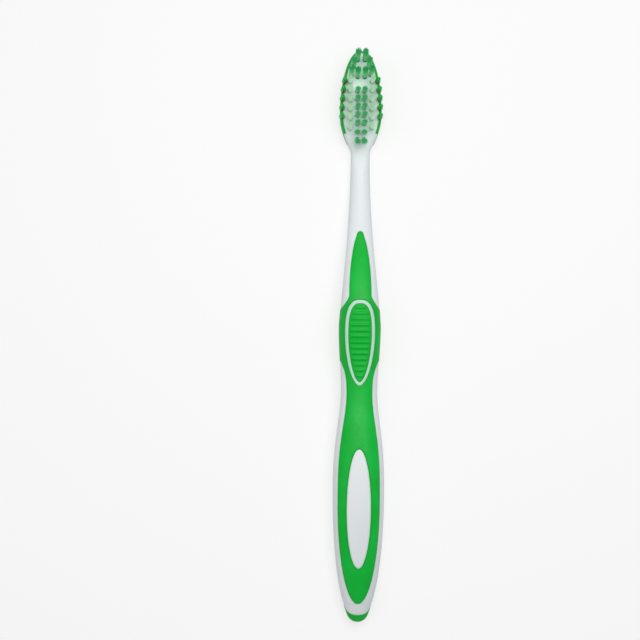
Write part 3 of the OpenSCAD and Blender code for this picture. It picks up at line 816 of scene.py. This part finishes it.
def finish_piece(name, bm, finish, nodes, sharp=35):
    """Bring a mesh from millimetres at the tail to metres in the frame, and make it a piece."""
    bmesh.ops.translate(bm, vec=(0, -overall_l / 2, 0), verts=bm.verts)
    bmesh.ops.scale(bm, vec=(MM, MM, MM), verts=bm.verts)
    mesh = bpy.data.meshes.new(name)
    bm.to_mesh(mesh)
    bm.free()
    mesh.materials.append(finish)
    mesh.shade_smooth()
    mesh.set_sharp_from_angle(angle=math.radians(sharp))
    piece = bpy.data.objects.new(name, mesh)
    bpy.context.scene.collection.objects.link(piece)
    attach(piece, "root")
    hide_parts(*nodes)
    triangles = sum(len(face.vertices) - 2 for face in mesh.polygons)
    print(f"{name}: {triangles} triangles")


save_normals(surface)
raise_lips(surface)
print("lips raised by up to", SOFT_PROUD, "mm")

# %% Places of the tufts on the face
hole_d, hole_depth = 1.6, 3.4
tip_tuft_shares = [(0.23, 0.176, 9), (0.413, 0.368, 9), (0.6, 0.478, 9), (0.65, 0.169, 10)]
heel_leans = [-4.5, -8]
outer_tufts, outer_x, first_outer, last_outer = 6, 3.62, 10, 5
inner_tufts, inner_x, first_inner, last_inner = 5, 1.13, 13.2, 1
outer_pitch = (face_l - first_outer - last_outer) / (outer_tufts - 1)
inner_pitch = (face_l - first_inner - last_inner) / (inner_tufts + len(heel_leans) - 1)

tufts = []
for i, (from_tip, from_middle, lean) in enumerate(tip_tuft_shares):
    for side in (-1, 1):
        name = f"tip_tuft_{2 * i + (side + 3) // 2}"
        tufts.append((name, side * from_middle * head_w / 2, face_l - from_tip * first_inner, lean))
for side, word in ((-1, "left"), (1, "right")):
    for i in range(outer_tufts):
        u = face_l - first_outer - i * outer_pitch
        tufts.append((f"outer_tuft_{word}_{i + 1}", side * outer_x, u, 0))
    for i in range(inner_tufts):
        u = face_l - first_inner - i * inner_pitch
        tufts.append((f"inner_tuft_{word}_{i + 1}", side * inner_x, u, 0))
for i, lean in enumerate(heel_leans):
    for side in (-1, 1):
        u = face_l - first_inner - (inner_tufts + i) * inner_pitch
        tufts.append((f"heel_tuft_{2 * i + (side + 3) // 2}", side * inner_x, u, lean))


def tuft_frame(x, u, lean):
    """The frame of one tuft: its Z axis runs along the filaments, and 0 is on the face."""
    return face_frame @ Matrix.Translation((x, u, 0)) @ Matrix.Rotation(-math.radians(lean), 4, "X")


for name, x, u, lean in tufts:
    low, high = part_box(name)
    root = tuft_frame(x, u, lean) @ Vector((0, 0, -hole_depth / 2))
    assert low.x / MM < root.x < high.x / MM and low.y / MM < root.y - overall_l / 2 < high.y / MM, name
print("tufts:", len(tufts), "all stand where the frame has them")

# %% The core with its beds and blind holes
SKIN_T = 1.0


def holes_zone(p):
    on_face = to_face @ p
    return max(hole_d / 2 - math.hypot(on_face.x - x, on_face.y - u) for _, x, u, _ in tufts)


def make_core(bm):
    """Press the beds of the soft pieces into the surface and sink the tuft holes."""
    kept = bm.verts.layers.float_vector["outward"]
    layers = [bm.verts.layers.float[name] for name in ZONES]
    pad_layer = layers[1]
    holes = bm.verts.layers.float.new("holes")
    for v in bm.verts:
        on_face = to_face @ v.co
        v[holes] = holes_zone(v.co) if on_face.z > -0.3 and on_face.y > -2 else FAR_OUTSIDE
    score(bm, "holes", 0.0)
    # Painted green light: mint near soft outlines, on the ring and on the face of the head.
    glow = bm.verts.layers.float.new("painted_green_light")
    for v in bm.verts:
        nearest = min(abs(v[layer]) for layer in layers)
        plate = clamp((v.co.y - head_y + 2) / 4) * (0.05 + 0.2 * clamp(1 - abs(v.co.x) / 2.6))
        ring = 0.6 * clamp((ring_line + 0.5 - abs(v[pad_layer])) / 0.5)
        v[glow] = max(plate, ring, 0.5 * clamp(1 - nearest / 0.6) ** 1.2)
    for layer, depth in zip(layers, (SKIN_T, SKIN_T, head_skin)):
        bed = [f for f in bm.faces if value_of(f, layer) > 0]
        floor = points_of(extrude_away(bm, bed))
        for v in floor:
            v.co -= v[kept] * (depth + SOFT_PROUD)
            v[layer] = FAR_OUTSIDE
            if depth == head_skin and v.co.y > seat_from - 1:
                on_face = to_face @ v.co
                on_face.z = max(on_face.z, head_skin - head_t)
                v.co = face_frame @ on_face
    for name, x, u, lean in tufts:
        axis = tuft_frame(x, u, lean)
        down = axis.to_3x3() @ Vector((0, 0, -hole_depth))
        inside = [f for f in bm.faces if value_of(f, holes) > 0]
        mouth = [f for f in inside if (f.calc_center_median() - axis.translation).length < hole_d]
        bottom = points_of(extrude_away(bm, mouth))
        bmesh.ops.translate(bm, vec=down, verts=bottom)
        for v in bottom:
            v[holes] = FAR_OUTSIDE
    bmesh.ops.recalc_face_normals(bm, faces=bm.faces)
    return bm


core = make_core(surface.copy())
print("core: open edges", sum(not e.is_manifold for e in core.edges))
finish_piece("core_moulding", core, white, ["handle_core"])

# %% [markdown]
# ## The soft pieces
#
# Each soft piece is cut from the same scored surface: the faces inside its outline are kept and given a
# wall inwards, so its rim meets the core's bed all round. Ribs are raised afterwards, on the outer skin
# alone. The back of the thumb rest has eight crescent ribs, bowed towards the head, and the back of the
# grip has seven fine ridges for the fingers.

# %% Cut a soft piece from the surface
def cut_skin(name):
    """The faces of one zone, with painted shade towards its rim stored for the finish."""
    bm = surface.copy()
    layer = bm.verts.layers.float[name]
    bmesh.ops.delete(bm, geom=[f for f in bm.faces if value_of(f, layer) <= 0], context="FACES")
    # Painted shade, strongest on the outline and gone 0.7 mm inside it.
    rim = bm.verts.layers.float.new("rim")
    for v in bm.verts:
        v[rim] = 0.8 * clamp(1 - v[layer] / 0.7) ** 1.5
    return bm


def give_wall(bm, depth):
    """Close an open skin: a copy of it goes inwards. The outer points are returned."""
    kept = bm.verts.layers.float_vector["outward"]
    outer = bm.verts[:]
    inner = points_of(bmesh.ops.extrude_face_region(bm, geom=bm.faces[:])["geom"])
    for v in inner:
        v.co -= v[kept] * depth
    bmesh.ops.recalc_face_normals(bm, faces=bm.faces)
    inner = set(inner)
    return [v for v in outer if v not in inner]


def ridge(offset, half, height):
    """Cross section of a rounded rib."""
    return height * math.sqrt(max(0, 1 - (offset / half) ** 2))


# %% The grip sleeve with its ribs
back_ribs, back_rib_pitch, back_rib_h, back_rib_half = 8, 2.8, 0.5, 1.3
first_back_rib_y = sleeve_edge_y - 1.2
back_rib_bow, back_rib_share = 2.0, 0.88
grip_ridges, grip_ridge_pitch, grip_ridge_h, grip_ridge_half = 7, 2.6, 0.3, 0.75
first_ridge_y, ridge_share = 0.439 * neck_y, 0.45


def back_relief(p):
    """Height of the ribs and ridges on the back of the handle."""
    share = abs(p.x) / max(half_w(p.y), 1)
    height = 0
    for i in range(back_ribs):
        y = first_back_rib_y - i * back_rib_pitch - back_rib_bow * share**2
        fade = rounded((back_rib_share - share) / 0.2)
        height = max(height, ridge(p.y - y, back_rib_half, back_rib_h) * fade)
    for i in range(grip_ridges):
        y = first_ridge_y - i * grip_ridge_pitch
        fade = rounded((ridge_share - share) / 0.15)
        height = max(height, ridge(p.y - y, grip_ridge_half, grip_ridge_h) * fade)
    return height


def make_sleeve():
    bm = cut_skin("sleeve")
    kept = bm.verts.layers.float_vector["outward"]
    for v in give_wall(bm, SKIN_T - 0.05):
        if v.co.z < middle_z(v.co.y):
            v.co += v[kept] * back_relief(v.co)
            v.co.z = max(v.co.z, 0)
    return bm


finish_piece("sleeve_moulding", make_sleeve(), green_soft, ["grip_sleeve"])

# %% [markdown]
# ## The thumb pad
#
# The pad is the soft island inside the ring. Its thirteen low ribs are far finer than the faces of the
# body, so the skin is divided again before they are raised. They stop short of the pad's rim, which
# stays smooth.

# %% A finer skin with thirteen ribs
thumb_ribs, thumb_rib_pitch, thumb_rib_h, thumb_rib_half = 13, 1.85, 0.42, 0.52
first_thumb_rib_y = ring_y + ring_up - 2.4
rib_from_rim = 0.75


def thumb_relief(p, from_rim):
    height = 0
    for i in range(thumb_ribs):
        y = first_thumb_rib_y - i * thumb_rib_pitch
        height = max(height, ridge(p.y - y, thumb_rib_half, thumb_rib_h))
    return height * rounded((from_rim - rib_from_rim) / 0.25)


def make_thumb_pad():
    bm = cut_skin("pad")
    bmesh.ops.subdivide_edges(bm, edges=bm.edges[:], cuts=2, use_grid_fill=True)
    kept, layer = bm.verts.layers.float_vector["outward"], bm.verts.layers.float["pad"]
    for v in give_wall(bm, SKIN_T - 0.05):
        v.co += v[kept] * thumb_relief(v.co, v[layer])
    return bm


finish_piece("pad_moulding", make_thumb_pad(), green_soft, ["thumb_pad"], 60)

# %% [markdown]
# ## The surround of the head
#
# The surround wraps the head's sides, nose and back, and runs on as a thin strip down the back of the
# neck. A flat seat in its back takes the tongue cleaner. Ten tapered massage fingers stand on its rim.
# A finger is a profile that is spun round its own axis and then set on the rim.

# %% One spun finger
FINGER_TIP_SHARE = 0.86
FINGER_STEPS = 20


def finger_profile():
    """Half of a finger's outline, from a point under the rim to the middle of its round tip."""
    radius, tip_radius = finger_d / 2, FINGER_TIP_SHARE * finger_d / 2
    foot = [(0, -1.2), (radius, -1.2), (radius * 1.12, 0.02), (radius * 1.02, 0.35)]
    shaft = [(radius + (tip_radius - radius) * i / 6, finger_h * i / 6) for i in range(1, 6)]
    tip = [(tip_radius * math.cos(a), finger_h - tip_radius * (1 - math.sin(a))) for a in (0, 0.4, 0.8, 1.2)]
    return foot + shaft + tip + [(0, finger_h)]


def add_finger(bm, place):
    before = set(bm.verts)
    line = [bm.verts.new((x, 0, z)) for x, z in finger_profile()]
    edges = [bm.edges.new(pair) for pair in zip(line, line[1:])]
    around = {"cent": (0, 0, 0), "axis": (0, 0, 1), "angle": math.tau, "steps": FINGER_STEPS}
    bmesh.ops.spin(bm, geom=line + edges, use_merge=True, **around)
    points = [v for v in bm.verts if v not in before]
    bmesh.ops.remove_doubles(bm, verts=points, dist=0.001)
    points = [v for v in points if v.is_valid]
    # Painted shade: each finger is darker towards its foot and lighter at its tip.
    rim = bm.verts.layers.float["rim"]
    for v in points:
        v[rim] = clamp(1.15 - v.co.z / finger_h)
    bmesh.ops.transform(bm, matrix=face_frame @ Matrix.Translation(place), verts=points)


# %% The surround, its seat and its fingers
def make_surround():
    bm = cut_skin("surround")
    for v in give_wall(bm, head_skin - 0.03):
        if seat_from < v.co.y < seat_to:
            on_face = to_face @ v.co
            on_face.z = max(on_face.z, -head_t)
            v.co = face_frame @ on_face
    for place in finger_places:
        add_finger(bm, place)
    bmesh.ops.recalc_face_normals(bm, faces=bm.faces)
    return bm


finish_piece("surround_moulding", make_surround(), green_soft, ["head_surround"])

# %% [markdown]
# ## The tongue cleaner
#
# The pad on the back of the head has seven cross ribs that end in round nubs on both sides, with grooves
# between them. It is a grid that is laid into the pad's outline and lowered by the depth of the grooves,
# and then extruded up to its flat seat.

# %% A grooved pad with nubs
pad_t, pad_inset, pad_corner = 1.5, 0.5, 1.6
pad_nubs, nub_set = 7, 2
nub_pitch = (pad_l - 2 * nub_set) / (pad_nubs - 1)
nub_proud, groove_depth, groove_half = 0.45, 0.5, 0.72
PAD_ROWS, PAD_COLUMNS = 150, 56


def to_nearest_nub(u):
    """Distance along the pad from u to the middle of the nearest cross rib."""
    i = clamp(round((u - pad_start - nub_set) / nub_pitch), 0, pad_nubs - 1)
    return u - (pad_start + nub_set + i * nub_pitch)


def cleaner_half(u):
    from_end = min(u - pad_start, pad_start + pad_l - u)
    corner = pad_corner * (1 - rounded(from_end / pad_corner))
    nub = nub_proud * max(0, 1 - (to_nearest_nub(u) / (nub_pitch / 2)) ** 2) ** 0.5
    return face_half_w(u) - pad_inset - nub_proud + nub - corner


def make_cleaner():
    bm = bmesh.new()
    bmesh.ops.create_grid(bm, x_segments=PAD_COLUMNS, y_segments=PAD_ROWS, size=1)
    for v in bm.verts:
        u = pad_start + pad_l * (v.co.y + 1) / 2
        side = v.co.x
        from_end = min(u - pad_start, pad_start + pad_l - u)
        from_rim = min((1 - abs(side)) * cleaner_half(u), from_end)
        off_rib = abs(to_nearest_nub(u)) - (nub_pitch / 2 - groove_half)
        groove = groove_depth * rounded(off_rib / 0.35) * clamp(from_end / 1.4)
        edge = 0.35 * (1 - rounded(from_rim / 0.4))
        v.co = (side * cleaner_half(u), u, -head_t - pad_t + edge + groove)
    top = bmesh.ops.extrude_face_region(bm, geom=bm.faces[:])["geom"]
    for v in points_of(top):
        v.co.z = -head_t
    # Painted shade: the grooves and the rounded edge of the cleaner are darker; the tops of the ribs keep
    # the plain colour.
    rim = bm.verts.layers.float.new("rim")
    for v in bm.verts:
        v[rim] = clamp((v.co.z + head_t + pad_t) / groove_depth)
    bmesh.ops.recalc_face_normals(bm, faces=bm.faces)
    bmesh.ops.transform(bm, matrix=face_frame, verts=bm.verts)
    return bm


finish_piece("cleaner_moulding", make_cleaner(), deep_green_soft, ["tongue_cleaner"], 60)

# %% [markdown]
# ## The tufts
#
# A real tuft is some forty nylon filaments, folded in their hole. One filament is made by extruding a
# five-sided face upwards and rounding its end. It is then set down at each place of a sunflower
# pattern, which packs a circle evenly. The bundle opens a little towards its trimmed end. The outer ones
# open along the head into squares that nearly touch. The trim is flat, and rises over the tip.

# %% One filament
FILAMENT_SIDES = 5
FILAMENT_HEIGHTS = (0.0, 0.28, 0.52, 0.76, 0.985, 1.0)
filament_r, root_gap = 0.098, 0.2


def make_filament():
    """A filament of height 1 and radius 1, to be stretched and bent later."""
    bm = bmesh.new()
    bmesh.ops.create_circle(bm, cap_ends=True, segments=FILAMENT_SIDES, radius=1)
    made = bmesh.ops.extrude_face_region(bm, geom=bm.faces[:])["geom"]
    for low, high in zip(FILAMENT_HEIGHTS, FILAMENT_HEIGHTS[1:]):
        if low:
            made = extrude_away(bm, [item for item in made if isinstance(item, bmesh.types.BMFace)])
        bmesh.ops.translate(bm, vec=(0, 0, high - low), verts=points_of(made))
    bmesh.ops.scale(bm, vec=(0.55, 0.55, 1), verts=points_of(made))
    bmesh.ops.recalc_face_normals(bm, faces=bm.faces)
    mesh = bpy.data.meshes.new("filament")
    bm.to_mesh(mesh)
    bm.free()
    return mesh


filament = make_filament()
print("one filament:", len(filament.polygons), "faces")

# %% Fill a hole with filaments
FILAMENTS = 44
GOLDEN_TURN = math.pi * (3 - math.sqrt(5))
ROOT_REACH = hole_d / 2 - filament_r - 0.03
trim_h, tip_trim_rise, trim_knee = 8.7, 0.23, face_l - 8.1
SPLAY = {"outer": (1.0, 2.15), "inner": (1.28, 1.28), "heel": (1.32, 1.2), "tip": (1.4, 1.6)}
chance = random.Random(34)


def filament_l(u, v, lean):
    """Length above the face of a filament that ends v from its tuft's axis."""
    rise = tip_trim_rise if u > trim_knee else 0
    lean = math.radians(lean)
    return (trim_h + rise * (u + v - trim_knee)) / (math.cos(lean) - rise * math.sin(lean))


def make_tuft(kind, x, u, lean):
    bm = bmesh.new()
    layers = {name: bm.verts.layers.float.new(name) for name in ("tone", "cut_end", "height_mm")}
    open_x, open_u = SPLAY[kind]
    for i in range(FILAMENTS):
        reach = ROOT_REACH * math.sqrt((i + 0.5) / FILAMENTS)
        root = Vector((reach * math.cos(i * GOLDEN_TURN), reach * math.sin(i * GOLDEN_TURN)))
        square = reach / max(abs(root.x), abs(root.y)) if kind == "outer" else 1
        tip = Vector((root.x * open_x, root.y * open_u)) * square
        tip += Vector((chance.gauss(0, 0.05), chance.gauss(0, 0.07)))
        tall = filament_l(u, tip.y, lean) + chance.uniform(-0.07, 0.03)
        bow = Vector((chance.gauss(0, 0.05), chance.gauss(0, 0.05)))
        tone, twist = chance.random(), chance.random() * math.tau
        first = len(bm.verts)
        bm.from_mesh(filament)
        bm.verts.ensure_lookup_table()
        for v in bm.verts[first:]:
            z = -hole_depth + root_gap + v.co.z * (tall + hole_depth - root_gap)
            out = clamp(z / tall)
            centre = root.lerp(tip, out**1.15) + bow * math.sin(math.pi * out)
            v[layers["tone"]] = tone
            v[layers["cut_end"]] = clamp((v.co.z - 0.97) / 0.015)
            v[layers["height_mm"]] = z
            around = Matrix.Rotation(twist, 2) @ Vector((v.co.x, v.co.y)) * filament_r
            v.co = (centre.x + around.x, centre.y + around.y, z)
    bmesh.ops.transform(bm, matrix=tuft_frame(x, u, lean), verts=bm.verts)
    return bm


for name, x, u, lean in tufts:
    kind = name.split("_")[0]
    pale = kind == "outer"
    finish, slot = (nylon_pale, "nylon_pale") if pale else (nylon_green, "nylon_green")
    finish_piece(f"{name}_filaments", make_tuft(kind, x, u, lean), finish, [name], 50)

# %% [markdown]
# ## The anchors
#
# A flat brass anchor holds each tuft down in its hole. The CAD node has the right shape, so it stays and
# only gets its metal.

# %% Brass on the anchors
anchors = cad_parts["tuft_anchors"]
anchors.data.materials.clear()
anchors.data.materials.append(brass)
print("anchors keep their node:", anchors.name)
